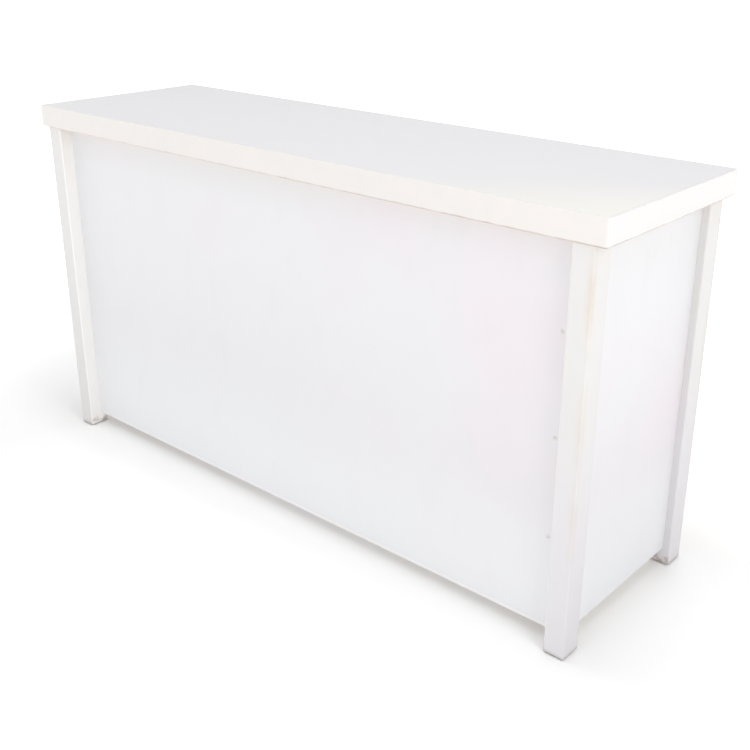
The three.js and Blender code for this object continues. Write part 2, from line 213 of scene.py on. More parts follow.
def rolled_paint(name, white, lit_white_near_floor):
    """Satin acrylic paint rolled on boards: an even dull white with a fine orange peel, cooler and painted
    lighter near the floor as painted light against the shade there, and clouding softly to a faintly mauve
    white where coats overlap. The real 2 mm peel is drawn 7 mm wide so that it shows."""
    finish, tree, place = new_finish(name)
    axes = add(tree, "ShaderNodeSeparateXYZ", {0: place})
    lap = add(tree, "ShaderNodeTexNoise", {"Vector": place, "Scale": per_mm(420), "Detail": 2.0})
    drift = add(tree, "ShaderNodeMapRange", {
        "Value": axes.outputs["X"], "From Min": -0.6, "From Max": 0.9, "To Min": -0.2, "To Max": 0.15,
    })
    tint = add(tree, "ShaderNodeMath", {0: lap, 1: drift}, operation="ADD")
    tint = add(tree, "ShaderNodeMapRange", {"Value": tint, "From Min": 0.4, "From Max": 0.75})
    above_foot = add(tree, "ShaderNodeMapRange", {
        "Value": axes.outputs["Z"], "From Min": 0.2, "From Max": 0.55, "To Min": 0.1, "To Max": 1.0,
    }, interpolation_type="SMOOTHSTEP")
    tint = add(tree, "ShaderNodeMath", {0: tint, 1: above_foot}, operation="MULTIPLY")
    on_the_end = add(tree, "ShaderNodeMapRange", {
        "Value": axes.outputs["X"], "From Min": POST_INSIDE, "From Max": POST_INSIDE + 15 * MM,
    })
    below_top = add(tree, "ShaderNodeMapRange", {
        "Value": axes.outputs["Z"], "From Min": 0.55, "From Max": 0.9, "To Min": 1.0, "To Max": 0.0,
    }, interpolation_type="SMOOTHSTEP")
    kept = add(tree, "ShaderNodeMix", {
        SHARE: on_the_end, UNDER_VALUE: 1.0, OVER_VALUE: below_top,
    }, data_type="FLOAT")
    tint = add(tree, "ShaderNodeMath", {0: tint, 1: kept}, operation="MULTIPLY")
    # Painted light: lighter, and cooler, towards the floor, lifting the shade low on the boards.
    painted_lift_near_floor = add(tree, "ShaderNodeMapRange", {
        "Value": axes.outputs["Z"], "From Min": 0.45, "From Max": 0.1,
    }, interpolation_type="SMOOTHSTEP")
    colour = add(tree, "ShaderNodeMix", {
        SHARE: painted_lift_near_floor, UNDER: linear(white), OVER: linear(lit_white_near_floor),
    }, data_type="RGBA")
    colour = add(tree, "ShaderNodeMix", {
        SHARE: tint, UNDER: colour, OVER: linear("#e1dbe0"),
    }, data_type="RGBA")
    smear_place = add(tree, "ShaderNodeVectorMath", {0: place, 1: (1, 1, 0.35)}, operation="MULTIPLY")
    smear = add(tree, "ShaderNodeTexNoise", {"Vector": smear_place, "Scale": per_mm(60), "Detail": 6.0})
    worn = add(tree, "ShaderNodeMapRange", {
        "Value": smear, "From Min": 0.58, "From Max": 0.85, "To Max": 0.14,
    })
    colour = add(tree, "ShaderNodeMix", {
        SHARE: worn, UNDER: colour, OVER: linear("#d2cecb"),
    }, data_type="RGBA")
    peel = add(tree, "ShaderNodeTexNoise", {"Vector": place, "Scale": per_mm(7), "Detail": 2.0})
    sheen = add(tree, "ShaderNodeMapRange", {
        "Value": smear, "From Min": 0.3, "From Max": 0.75, "To Min": 0.46, "To Max": 0.6,
    })
    relief = add(tree, "ShaderNodeBump", {"Height": peel, "Distance": 0.05 * MM})
    shader = add(tree, "ShaderNodeBsdfPrincipled", {
        "Base Color": colour, "Roughness": sheen, "Normal": relief, "IOR": 1.5,
    })
    add(tree, "ShaderNodeOutputMaterial", {"Surface": shader})
    return finish


def edge_lacquer():
    """Satin lacquer sprayed on the build-up strips of the counter: white at the ends and a warmer white along
    the front, with a brown painted shade on the lower arris, darker towards the right, for the shadow line
    under the edge. The real 2 mm orange peel is drawn 6 mm wide so that it shows."""
    finish, tree, place = new_finish("satin_lacquer_on_edge")
    axes = add(tree, "ShaderNodeSeparateXYZ", {0: place})
    to_front = add(tree, "ShaderNodeMapRange", {
        "Value": axes.outputs["Y"], "From Min": 6 * MM - COUNTER_OUTER[1], "From Max": -COUNTER_OUTER[1],
    })
    colour = add(tree, "ShaderNodeMix", {
        SHARE: to_front, UNDER: linear("#dddcdc"), OVER: linear("#dedad7"),
    }, data_type="RGBA")
    touch = add(tree, "ShaderNodeTexNoise", {"Vector": place, "Scale": per_mm(60), "Detail": 4.0})
    handled = add(tree, "ShaderNodeMapRange", {
        "Value": touch, "From Min": 0.35, "From Max": 0.7, "To Max": 0.35,
    })
    colour = add(tree, "ShaderNodeMix", {
        SHARE: handled, UNDER: colour, OVER: linear("#e6e1dc"),
    }, data_type="RGBA")
    ragged = add(tree, "ShaderNodeMapRange", {
        "Value": touch, "From Min": 0.3, "From Max": 0.7, "To Min": -1.5 * MM, "To Max": 1.5 * MM,
    })
    height = add(tree, "ShaderNodeMath", {0: axes.outputs["Z"], 1: ragged}, operation="ADD")
    # Painted shade: a ragged brown band along the lower arris, stronger towards the right.
    arris = add(tree, "ShaderNodeMapRange", {
        "Value": height, "From Min": COUNTER_UNDER + 5 * MM, "From Max": COUNTER_UNDER + 1 * MM,
    })
    shade_to_right = add(tree, "ShaderNodeMapRange", {
        "Value": axes.outputs["X"], "From Min": -0.9, "From Max": 0.9, "To Min": 0.35, "To Max": 0.7,
    })
    arris = add(tree, "ShaderNodeMath", {0: arris, 1: shade_to_right}, operation="MULTIPLY")
    colour = add(tree, "ShaderNodeMix", {
        SHARE: arris, UNDER: colour, OVER: linear("#a48d7a"),
    }, data_type="RGBA")
    sheen = add(tree, "ShaderNodeMapRange", {
        "Value": touch, "From Min": 0.3, "From Max": 0.75, "To Min": 0.38, "To Max": 0.52,
    })
    peel = add(tree, "ShaderNodeTexNoise", {"Vector": place, "Scale": per_mm(6), "Detail": 2.0})
    relief = add(tree, "ShaderNodeBump", {"Height": peel, "Distance": 0.03 * MM})
    shader = add(tree, "ShaderNodeBsdfPrincipled", {
        "Base Color": colour, "Roughness": sheen, "Normal": relief, "IOR": 1.5,
    })
    add(tree, "ShaderNodeOutputMaterial", {"Surface": shader})
    return finish


def pressed_laminate():
    """High pressure laminate with a suede face: a cool even white, with a painted highlight that makes it
    paler and yellower toward its front right corner, a satin sheen, and long wiping marks that mostly change
    the sheen.
    The real 0.5 mm suede grain is drawn 3 mm wide so that it shows."""
    finish, tree, place = new_finish("white_laminate")
    cloud = add(tree, "ShaderNodeTexNoise", {"Vector": place, "Scale": per_mm(300), "Detail": 2.0})
    colour = add(tree, "ShaderNodeMix", {
        SHARE: cloud, UNDER: linear("#e3e3e5"), OVER: linear("#e3e1e3"),
    }, data_type="RGBA")
    # Painted highlight: paler and yellower toward the front right corner.
    front_right = add(tree, "ShaderNodeVectorMath", {0: place, 1: (1, -1.5, 0)}, operation="DOT_PRODUCT")
    painted_highlight = add(tree, "ShaderNodeMapRange", {
        "Value": front_right, "From Min": 0.75, "From Max": 1.4,
    }, interpolation_type="SMOOTHSTEP")
    colour = add(tree, "ShaderNodeMix", {
        SHARE: painted_highlight, UNDER: colour, OVER: linear("#eceae5"),
    }, data_type="RGBA")
    wipe_place = add(tree, "ShaderNodeVectorMath", {0: place, 1: (0.25, 1, 1)}, operation="MULTIPLY")
    wipe = add(tree, "ShaderNodeTexNoise", {"Vector": wipe_place, "Scale": per_mm(110), "Detail": 2.0})
    dull = add(tree, "ShaderNodeMapRange", {
        "Value": wipe, "From Min": 0.5, "From Max": 0.8, "To Max": 0.1,
    })
    colour = add(tree, "ShaderNodeMix", {
        SHARE: dull, UNDER: colour, OVER: linear("#dcdddf"),
    }, data_type="RGBA")
    sheen = add(tree, "ShaderNodeMapRange", {
        "Value": wipe, "From Min": 0.3, "From Max": 0.75, "To Min": 0.5, "To Max": 0.62,
    })
    suede = add(tree, "ShaderNodeTexNoise", {"Vector": place, "Scale": per_mm(3), "Detail": 2.0})
    relief = add(tree, "ShaderNodeBump", {"Height": suede, "Distance": 0.015 * MM})
    shader = add(tree, "ShaderNodeBsdfPrincipled", {
        "Base Color": colour, "Roughness": sheen, "Normal": relief, "IOR": 1.48,
    })
    add(tree, "ShaderNodeOutputMaterial", {"Surface": shader})
    return finish


def primed_pine(name, grain_axis):
    """Thin white primer brushed on planed pine: the grain and a few knots show through it as faint tan
    streaks and ovals. The 2 mm growth rings are drawn 5 mm wide so that they show."""
    finish, tree, place = new_finish(name)
    stretch = tuple(0.05 if axis == grain_axis else 1.0 for axis in "XYZ")
    grain_place = add(tree, "ShaderNodeVectorMath", {0: place, 1: stretch}, operation="MULTIPLY")
    grain = add(tree, "ShaderNodeTexNoise", {"Vector": grain_place, "Scale": per_mm(5), "Detail": 4.0})
    streak = add(tree, "ShaderNodeMapRange", {"Value": grain, "From Min": 0.42, "From Max": 0.72})
    colour = add(tree, "ShaderNodeMix", {
        SHARE: streak, UNDER: linear("#e2ded6"), OVER: linear("#d2c8b8"),
    }, data_type="RGBA")
    oval = tuple(0.4 if axis == grain_axis else 1.0 for axis in "XYZ")
    knot_place = add(tree, "ShaderNodeVectorMath", {0: place, 1: oval}, operation="MULTIPLY")
    knots = add(tree, "ShaderNodeTexVoronoi", {"Vector": knot_place, "Scale": per_mm(110)})
    knot = add(tree, "ShaderNodeMapRange", {
        "Value": knots, "From Min": 0.13, "From Max": 0.05, "To Max": 0.6,
    }, interpolation_type="SMOOTHSTEP")
    colour = add(tree, "ShaderNodeMix", {
        SHARE: knot, UNDER: colour, OVER: linear("#b49a7b"),
    }, data_type="RGBA")
    blotch = add(tree, "ShaderNodeTexNoise", {"Vector": place, "Scale": per_mm(120), "Detail": 3.0})
    thin = add(tree, "ShaderNodeMapRange", {
        "Value": blotch, "From Min": 0.45, "From Max": 0.8, "To Max": 0.5,
    })
    colour = add(tree, "ShaderNodeMix", {
        SHARE: thin, UNDER: colour, OVER: linear("#cbc1b0"),
    }, data_type="RGBA")
    dry = add(tree, "ShaderNodeMapRange", {
        "Value": grain, "From Min": 0.3, "From Max": 0.8, "To Min": 0.55, "To Max": 0.72,
    })
    relief = add(tree, "ShaderNodeBump", {"Height": grain, "Distance": 0.12 * MM})
    shader = add(tree, "ShaderNodeBsdfPrincipled", {
        "Base Color": colour, "Roughness": dry, "Normal": relief, "IOR": 1.5,
    })
    add(tree, "ShaderNodeOutputMaterial", {"Surface": shader})
    return finish


def birch_plywood():
    """Birch plywood, sawn and lacquered clear: a pale even face with fine upright flecks, and brown and cream
    plies in turn on the sawn edges. The real 1.4 mm plies are drawn 2 mm thick so that they show."""
    finish, tree, place = new_finish("lacquered_birch_plywood")
    facing = add(tree, "ShaderNodeTexCoord", {}).outputs["Normal"]
    fleck_place = add(tree, "ShaderNodeVectorMath", {0: place, 1: (1, 1, 0.06)}, operation="MULTIPLY")
    fleck = add(tree, "ShaderNodeTexNoise", {"Vector": fleck_place, "Scale": per_mm(4), "Detail": 4.0})
    streak = add(tree, "ShaderNodeMapRange", {"Value": fleck, "From Min": 0.4, "From Max": 0.72})
    face = add(tree, "ShaderNodeMix", {
        SHARE: streak, UNDER: linear("#dcc7a3"), OVER: linear("#c9ae84"),
    }, data_type="RGBA")
    across = add(tree, "ShaderNodeSeparateXYZ", {0: place}).outputs["X"]
    turn = add(tree, "ShaderNodeMath", {0: across, 1: math.pi / (2 * MM)}, operation="MULTIPLY")
    wave = add(tree, "ShaderNodeMath", {0: turn}, operation="SINE")
    ply = add(tree, "ShaderNodeMapRange", {"Value": wave, "From Min": -0.4, "From Max": 0.4})
    edge = add(tree, "ShaderNodeMix", {
        SHARE: ply, UNDER: linear("#a98558"), OVER: linear("#d5bd92"),
    }, data_type="RGBA")
    sideways = add(tree, "ShaderNodeSeparateXYZ", {0: facing}).outputs["X"]
    flat = add(tree, "ShaderNodeMath", {0: sideways}, operation="ABSOLUTE")
    on_face = add(tree, "ShaderNodeMapRange", {"Value": flat, "From Min": 0.6, "From Max": 0.8})
    colour = add(tree, "ShaderNodeMix", {
        SHARE: on_face, UNDER: edge, OVER: face,
    }, data_type="RGBA")
    sheen = add(tree, "ShaderNodeMapRange", {
        "Value": fleck, "From Min": 0.3, "From Max": 0.75, "To Min": 0.4, "To Max": 0.55,
    })
    relief = add(tree, "ShaderNodeBump", {"Height": fleck, "Distance": 0.06 * MM})
    shader = add(tree, "ShaderNodeBsdfPrincipled", {
        "Base Color": colour, "Roughness": sheen, "Normal": relief, "IOR": 1.5,
    })
    add(tree, "ShaderNodeOutputMaterial", {"Surface": shader})
    return finish


def bare_fibreboard():
    """Medium density fibreboard, sanded and sealed: an even dull tan, mottled by fine fibres. The real 2 mm
    fibres are drawn 6 mm long so that they show."""
    finish, tree, place = new_finish("sealed_fibreboard")
    fibre = add(tree, "ShaderNodeTexNoise", {
        "Vector": place, "Scale": per_mm(6), "Detail": 6.0, "Roughness": 0.7,
    })
    mottle = add(tree, "ShaderNodeMapRange", {"Value": fibre, "From Min": 0.35, "From Max": 0.65})
    colour = add(tree, "ShaderNodeMix", {
        SHARE: mottle, UNDER: linear("#b99c77"), OVER: linear("#a4875f"),
    }, data_type="RGBA")
    dry = add(tree, "ShaderNodeMapRange", {
        "Value": fibre, "From Min": 0.3, "From Max": 0.7, "To Min": 0.65, "To Max": 0.8,
    })
    relief = add(tree, "ShaderNodeBump", {"Height": fibre, "Distance": 0.05 * MM})
    shader = add(tree, "ShaderNodeBsdfPrincipled", {
        "Base Color": colour, "Roughness": dry, "Normal": relief, "IOR": 1.5,
    })
    add(tree, "ShaderNodeOutputMaterial", {"Surface": shader})
    return finish


def zinc_plated_steel(name, bright, dull, roughness):
    """Pressed steel with zinc plating: grey with a soft shine, and small cloudy patches of dulled zinc. The
    real 0.5 mm pits are drawn 2.5 mm wide so that they show."""
    finish, tree, place = new_finish(name)
    cloud = add(tree, "ShaderNodeTexNoise", {"Vector": place, "Scale": per_mm(9), "Detail": 4.0})
    dulled = add(tree, "ShaderNodeMapRange", {"Value": cloud, "From Min": 0.4, "From Max": 0.7})
    colour = add(tree, "ShaderNodeMix", {
        SHARE: dulled, UNDER: linear(bright), OVER: linear(dull),
    }, data_type="RGBA")
    shine = add(tree, "ShaderNodeMapRange", {
        "Value": cloud, "From Min": 0.3, "From Max": 0.75,
        "To Min": roughness - 0.08, "To Max": roughness + 0.14,
    })
    pits = add(tree, "ShaderNodeTexNoise", {"Vector": place, "Scale": per_mm(2.5), "Detail": 2.0})
    relief = add(tree, "ShaderNodeBump", {"Height": pits, "Distance": 0.02 * MM})
    shader = add(tree, "ShaderNodeBsdfPrincipled", {
        "Base Color": colour, "Roughness": shine, "Normal": relief, "Metallic": 1.0,
    })
    add(tree, "ShaderNodeOutputMaterial", {"Surface": shader})
    return finish


def painted_over_head():
    """Enamel dabbed over a steel screw head: grey white, a little darker and warmer where it is thin."""
    finish, tree, place = new_finish("enamel_on_screw_head")
    dab = add(tree, "ShaderNodeTexNoise", {"Vector": place, "Scale": per_mm(5), "Detail": 4.0})
    thin = add(tree, "ShaderNodeMapRange", {"Value": dab, "From Min": 0.4, "From Max": 0.65})
    colour = add(tree, "ShaderNodeMix", {
        SHARE: thin, UNDER: linear("#dbd9d8"), OVER: linear("#cbc6c3"),
    }, data_type="RGBA")
    sheen = add(tree, "ShaderNodeMapRange", {
        "Value": dab, "From Min": 0.3, "From Max": 0.75, "To Min": 0.45, "To Max": 0.6,
    })
    relief = add(tree, "ShaderNodeBump", {"Height": dab, "Distance": 0.08 * MM})
    shader = add(tree, "ShaderNodeBsdfPrincipled", {
        "Base Color": colour, "Roughness": sheen, "Normal": relief, "IOR": 1.5,
    })
    add(tree, "ShaderNodeOutputMaterial", {"Surface": shader})
    return finish


def moulded_nylon():
    """Dark nylon, injection moulded: a dull grey black with a finely pitted skin and pale dust. The real
    0.3 mm pits are drawn 1.6 mm wide so that they show."""
    finish, tree, place = new_finish("dark_nylon")
    dust = add(tree, "ShaderNodeTexNoise", {"Vector": place, "Scale": per_mm(14), "Detail": 4.0})
    dusty = add(tree, "ShaderNodeMapRange", {
        "Value": dust, "From Min": 0.5, "From Max": 0.8, "To Max": 0.6,
    })
    colour = add(tree, "ShaderNodeMix", {
        SHARE: dusty, UNDER: linear("#2c2a29"), OVER: linear("#6b645c"),
    }, data_type="RGBA")
    rub = add(tree, "ShaderNodeMapRange", {
        "Value": dust, "From Min": 0.3, "From Max": 0.75, "To Min": 0.5, "To Max": 0.7,
    })
    pits = add(tree, "ShaderNodeTexNoise", {"Vector": place, "Scale": per_mm(1.6), "Detail": 2.0})
    relief = add(tree, "ShaderNodeBump", {"Height": pits, "Distance": 0.06 * MM})
    shader = add(tree, "ShaderNodeBsdfPrincipled", {
        "Base Color": colour, "Roughness": rub, "Normal": relief, "IOR": 1.53,
    })
    add(tree, "ShaderNodeOutputMaterial", {"Surface": shader})
    return finish


def turned_beech():
    """Plain beech dowel, turned and sanded: pale pink brown with short darker flecks along the grain."""
    finish, tree, place = new_finish("plain_beech")
    fleck_place = add(tree, "ShaderNodeVectorMath", {0: place, 1: (1, 1, 0.12)}, operation="MULTIPLY")
    fleck = add(tree, "ShaderNodeTexNoise", {"Vector": fleck_place, "Scale": per_mm(2.2), "Detail": 3.0})
    dark = add(tree, "ShaderNodeMapRange", {"Value": fleck, "From Min": 0.4, "From Max": 0.7})
    colour = add(tree, "ShaderNodeMix", {
        SHARE: dark, UNDER: linear("#cfa97c"), OVER: linear("#a9814f"),
    }, data_type="RGBA")
    dry = add(tree, "ShaderNodeMapRange", {
        "Value": fleck, "From Min": 0.3, "From Max": 0.75, "To Min": 0.52, "To Max": 0.66,
    })
    relief = add(tree, "ShaderNodeBump", {"Height": fleck, "Distance": 0.08 * MM})
    shader = add(tree, "ShaderNodeBsdfPrincipled", {
        "Base Color": colour, "Roughness": dry, "Normal": relief, "IOR": 1.5,
    })
    add(tree, "ShaderNodeOutputMaterial", {"Surface": shader})
    return finish


POST_ENAMEL = brushed_enamel()
PANEL_PAINT = rolled_paint("satin_paint_on_fibreboard", "#dfdfe1", "#e6e7e9")
# A lighter copy of the panel paint for the low rail: painted light on the rail, which sits in the shade under
# the panel.
LIGHTENED_RAIL_PAINT = rolled_paint("satin_paint_on_rail_painted_lighter", "#e9e9e9", "#efeeed")
EDGE_LACQUER = edge_lacquer()
LAMINATE = pressed_laminate()
PINE_LONG = primed_pine("primed_pine_lengthways", "X")
PINE_DEEP = primed_pine("primed_pine_depthways", "Y")
PINE_TALL = primed_pine("primed_pine_upright", "Z")
PLYWOOD = birch_plywood()
FIBREBOARD = bare_fibreboard()
HINGE_ZINC = zinc_plated_steel("bright_zinc_plate", "#c9c9c6", "#a9a9a5", 0.34)
SCREW_ZINC = zinc_plated_steel("dulled_zinc_plate", "#9d9a94", "#77746c", 0.45)
SCREW_ENAMEL = painted_over_head()
NYLON = moulded_nylon()
BEECH = turned_beech()


# The solids that stay, with their finishes and softened edges

# Widths in millimetres that sharp edges are softened by
AS_CUT = 0
SANDED = 1.2
EASED = 1.5
ROUNDED = 2.5

SOFT_STEPS = 3
SHARP_ANGLE = math.radians(50)
JOIN_WITHIN = 0.02


def finish_of(name):
    """The finish of a CAD node, and how far its sharp edges are softened."""
    if "leaf" in name:
        return HINGE_ZINC, AS_CUT
    if name.startswith("foot_glide"):
        return NYLON, AS_CUT
    if name.startswith("locating_peg"):
        return BEECH, AS_CUT
    if "post" in name:
        return POST_ENAMEL, ROUNDED
    if name == "front_panel":
        return PANEL_PAINT, AS_CUT
    if name.startswith("end_panel"):
        return PANEL_PAINT, SANDED
    if name == "front_bottom_rail":
        return LIGHTENED_RAIL_PAINT, SANDED
    if name == "shelf_board":
        return LAMINATE, EASED
    if name.startswith("shelf_bracket"):
        return PLYWOOD, SANDED
    if "stile" in name:
        return PINE_TALL, EASED
    if name.startswith(("end_top_rail", "end_bottom_rail", "top_cross")):
        return PINE_DEEP, EASED
    return PINE_LONG, EASED


for node_name, node_object in NODES.items():
    finish, soften = finish_of(node_name)
    node_object.data.materials.clear()
    node_object.data.materials.append(finish)
    weld = node_object.modifiers.new("join_corners", "WELD")
    weld.merge_threshold = JOIN_WITHIN * MM
    if soften:
        ease = node_object.modifiers.new("soft_edges", "BEVEL")
        ease.width = soften * MM
        ease.segments = SOFT_STEPS
        ease.limit_method = "ANGLE"
        ease.angle_limit = SHARP_ANGLE
        ease.use_clamp_overlap = True


# Mesh helpers

ROUND_STEPS = 24
AROUND = [2 * math.pi * i / ROUND_STEPS for i in range(ROUND_STEPS)]


def mesh_piece(name, form, finishes, body):
    """Makes a piece from a form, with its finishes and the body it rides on."""
    mesh = bpy.data.meshes.new(name)
    form.normal_update()
    form.to_mesh(mesh)
    form.free()
    for finish in finishes:
        mesh.materials.append(finish)
    piece = bpy.data.objects.new(name, mesh)
    SCENE.collection.objects.link(piece)
    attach(piece, body)
    return piece


def band(form, low, high):
    """Joins two loops of as many points with a band of faces, and returns them."""
    after = [(i + 1) % len(low) for i in range(len(low))]
    return [form.faces.new((low[i], low[j], high[j], high[i])) for i, j in enumerate(after)]


def loop_edges(form, loop):
    """The edges around a closed loop of points."""
    return [form.edges.get((loop[i], loop[(i + 1) % len(loop)])) for i in range(len(loop))]


# Counter top, in millimetres

SOCKET_RADIUS = 6.3
SOCKET_DEPTH = 25
CORNER_RADIUS = 6.5
CREST_RADIUS = 4.5
LOWER_RADIUS = 4.0
INSIDE_RADIUS = 1.0
FIELD_BORDER = 30

CORNER_STEPS = 5
ARRIS_STEPS = 4
CREASE_ANGLE = math.radians(35)


def rounded_ring(form, half, inset, radius, z):
    """A loop of points around a rectangle with rounded corners, set in from its half sizes."""
    reach = [size - (inset + radius) * MM for size in half]
    points = []
    for quarter, (sx, sy) in enumerate(((1, 1), (-1, 1), (-1, -1), (1, -1))):
        for step in range(CORNER_STEPS + 1):
            a = math.pi / 2 * (quarter + step / CORNER_STEPS)
            points.append(form.verts.new((sx * reach[0] + radius * MM * math.cos(a),
                                          sy * reach[1] + radius * MM * math.sin(a), z)))
    return points


def counter_under(form, inner, outer):
    """The flat underside between two rings, with the sockets for the locating pegs along the front. The mouth
    of a socket starts at its right and runs by its rear, left and front points. Returns the new faces."""
    to_rear, to_left = ROUND_STEPS // 4, ROUND_STEPS // 2
    faces = []
    mouths = []
    for name in ("locating_peg_left", "locating_peg_right"):
        low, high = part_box(name)
        x, y = (low.x + high.x) / 2, (low.y + high.y) / 2
        loops = []
        for depth in (0, SOCKET_DEPTH):
            z = COUNTER_UNDER + depth * MM
            loops.append([form.verts.new((x + SOCKET_RADIUS * MM * math.cos(a),
                                          y + SOCKET_RADIUS * MM * math.sin(a), z)) for a in AROUND])
        mouth, end = loops
        faces += band(form, end, mouth)
        faces.append(form.faces.new(list(reversed(end))))
        mouths.append(mouth)

    left, right = mouths
    half = len(inner) // 2
    front = half + CORNER_STEPS
    rear_strip = [*outer[:half], *inner[half - 1::-1]]
    left_end = [inner[half - 1], outer[half - 1], inner[half]]
    right_end = [inner[-1], outer[0], inner[0]]
    behind_pegs = [inner[front], *left[to_rear::-1], *right[to_left:to_rear - 1:-1], inner[front + 1]]
    around_pegs = [*outer[half - 1:], outer[0], *inner[:front:-1],
                   *right[to_rear::-1], *right[:to_left - 1:-1],
                   left[0], *left[:to_rear - 1:-1], *inner[front:half - 1:-1]]
    for outline in (rear_strip, left_end, right_end, behind_pegs, around_pegs):
        faces.append(form.faces.new(list(reversed(outline))))
    return faces


def counter_slab():
    """The counter top as one skin: hollow below between the strips, rounded on the outside, with a flat field
    inside a narrow border on top, so that the rounded arris can't shade the laminate."""
    form = bmesh.new()
    turns = [math.pi / 2 * i / ARRIS_STEPS for i in range(ARRIS_STEPS + 1)]
    lower = [(LOWER_RADIUS * (1 - math.sin(a)), COUNTER_UNDER + LOWER_RADIUS * MM * (1 - math.cos(a)))
             for a in turns]
    crest = [(CREST_RADIUS * (1 - math.cos(a)), COUNTER_FACE - CREST_RADIUS * MM * (1 - math.sin(a)))
             for a in turns]
    hollow = [rounded_ring(form, COUNTER_INNER, 0, INSIDE_RADIUS, z)
              for z in (COUNTER_CEILING, COUNTER_UNDER)]
    outside = [rounded_ring(form, COUNTER_OUTER, inset, CORNER_RADIUS - inset, z)
               for inset, z in lower + crest]
    field = rounded_ring(form, COUNTER_OUTER, FIELD_BORDER, INSIDE_RADIUS, COUNTER_FACE)

    walls = band(form, hollow[0], hollow[1])
    ceiling = form.faces.new(list(reversed(hollow[0])))
    bare = walls + [ceiling] + counter_under(form, hollow[1], outside[0])
    lacquered = [face for low, high in zip(outside, outside[1:]) for face in band(form, low, high)]
    top = band(form, outside[-1], field) + [form.faces.new(field)]
    for index, faces in enumerate((top, lacquered, bare)):
        for face in faces:
            face.material_index = index
            face.smooth = True
    slab = mesh_piece("counter_slab", form, [LAMINATE, EDGE_LACQUER, FIBREBOARD],
                      "counter_top")
    slab.data.set_sharp_from_angle(angle=CREASE_ANGLE)
    weigh = slab.modifiers.new("even_shading", "WEIGHTED_NORMAL")
    weigh.keep_sharp = True
    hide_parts("top_board", "top_front_strip", "top_rear_strip",
                "top_end_strip_left", "top_end_strip_right")


counter_slab()


# Screws, in millimetres

HEAD_RADIUS = 3.4
HEAD_PROUD = 0.15
HEAD_BURIED = 0.8
HEAD_EASE = 0.15
CROSS_DEPTH = 1.9

# The face and the cross as shares of the head's radius, and the cross at its floor as a share of its mouth
HEAD_FACE = 0.93
CROSS_ARM = 0.62
CROSS_SLIT = 0.15
CROSS_FLOOR = 0.8

# Paint plugs: the radius of each ring and its height over the panel, from the back to the edge of the cross
PLUG_RINGS = ((6.0, -1.2), (6.0, 0.04), (5.2, 0.1), (4.2, -0.1), (2.9, -0.25))
PLUG_ARM = 2.2
PLUG_SLIT = 0.5
PLUG_SUNK = 0.25

# The cross of a plug at its floor as a share of its mouth, and the depths of a plug as shares of those above
PLUG_FLOOR = 0.7
THIN_COAT = 1
FILLED = 0.25


def cross_outline(arm, slit):
    """The outline of a cross slot, from the length of its arms and half their width."""
    return ((arm, -slit), (arm, slit), (slit, slit), (slit, arm), (-slit, arm), (-slit, slit),
            (-arm, slit), (-arm, -slit), (-slit, -slit), (-slit, -arm), (slit, -arm), (slit, -slit))


def sunk_cross(form, rim, mouth, floor, facing):
    """Fills a ring up to the mouth of a cross slot, and closes the slot with its walls and floor."""
    band(form, mouth, floor)
    form.faces.new(floor)
    edges = loop_edges(form, rim) + loop_edges(form, mouth)
    bmesh.ops.triangle_fill(form, use_beauty=True, edges=edges, normal=facing)


def screw_head(form, at, facing):
    """Adds a flat screw head with a sunk cross to a form, set into a face that looks along facing."""
    turn = facing.to_track_quat("Z", "Y").to_matrix().to_4x4()
    seat = Matrix.Translation(at) @ turn

    def ring(radius, z):
        return [form.verts.new(seat @ (Vector((radius * math.cos(a), radius * math.sin(a), z)) * MM))
                for a in AROUND]

    def cross(share, z):
        outline = cross_outline(CROSS_ARM * HEAD_RADIUS, CROSS_SLIT * HEAD_RADIUS)
        return [form.verts.new(seat @ (Vector((share * x, share * y, z)) * MM)) for x, y in outline]

    low = ring(HEAD_RADIUS, -HEAD_BURIED)
    edge = ring(HEAD_RADIUS, HEAD_PROUD - HEAD_EASE)
    face = ring(HEAD_FACE * HEAD_RADIUS, HEAD_PROUD)
    mouth = cross(1, HEAD_PROUD)
    floor = cross(CROSS_FLOOR, HEAD_PROUD - CROSS_DEPTH)
    band(form, low, edge)
    band(form, edge, face)
    form.faces.new(list(reversed(low)))
    sunk_cross(form, face, mouth, floor, facing)


def paint_plug(form, at, depth):
    """Adds the paint over a sunk screw head in the front panel: a shallow dish with a faint cross in it,
    closed inside the panel. The depth is that of a thin coat or of a filled head."""

    def spot(x, proud, z):
        return form.verts.new(at + Vector((x, -proud * depth, z)) * MM)

    rings = [[spot(radius * math.cos(a), proud, radius * math.sin(a)) for a in AROUND]
             for radius, proud in PLUG_RINGS]
    for low, high in zip(rings, rings[1:]):
        band(form, low, high)
    form.faces.new(list(reversed(rings[0])))
    outline = cross_outline(PLUG_ARM, PLUG_SLIT)
    mouth = [spot(x, -PLUG_SUNK, z) for x, z in outline]
    floor = [spot(PLUG_FLOOR * x, -2 * PLUG_SUNK, PLUG_FLOOR * z) for x, z in outline]
    sunk_cross(form, rings[-1], mouth, floor, Vector((0, -1, 0)))


def panel_screws(side, finish, depth):
    """The painted over screws along one end of the front panel."""
    names = [f"panel_screw_{side}_{i}" for i in (1, 2, 3)]
    form = bmesh.new()
    for name in names:
        low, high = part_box(name)
        paint_plug(form, Vector(((low.x + high.x) / 2, low.y, (low.z + high.z) / 2)), depth)
    heads = mesh_piece(f"panel_screw_heads_{side}", form, [finish], "front_frame")
    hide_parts(*names)


panel_screws("left", PANEL_PAINT, FILLED)
panel_screws("right", SCREW_ENAMEL, THIN_COAT)


# Hinge screws

LEAF_THICK = 2 * MM
LEAF_WIDE = 25 * MM


def leaf_middle(leaf, low, high, across):
    """The middle of the flat part of a hinge leaf, which lies on the side away from the knuckles."""
    vertices = [v.co[across] for v in NODES[leaf].data.vertices]
    middle = sum(vertices) / len(vertices)
    knuckles_low = middle < (low[across] + high[across]) / 2
    return high[across] - LEAF_WIDE / 2 if knuckles_low else low[across] + LEAF_WIDE / 2


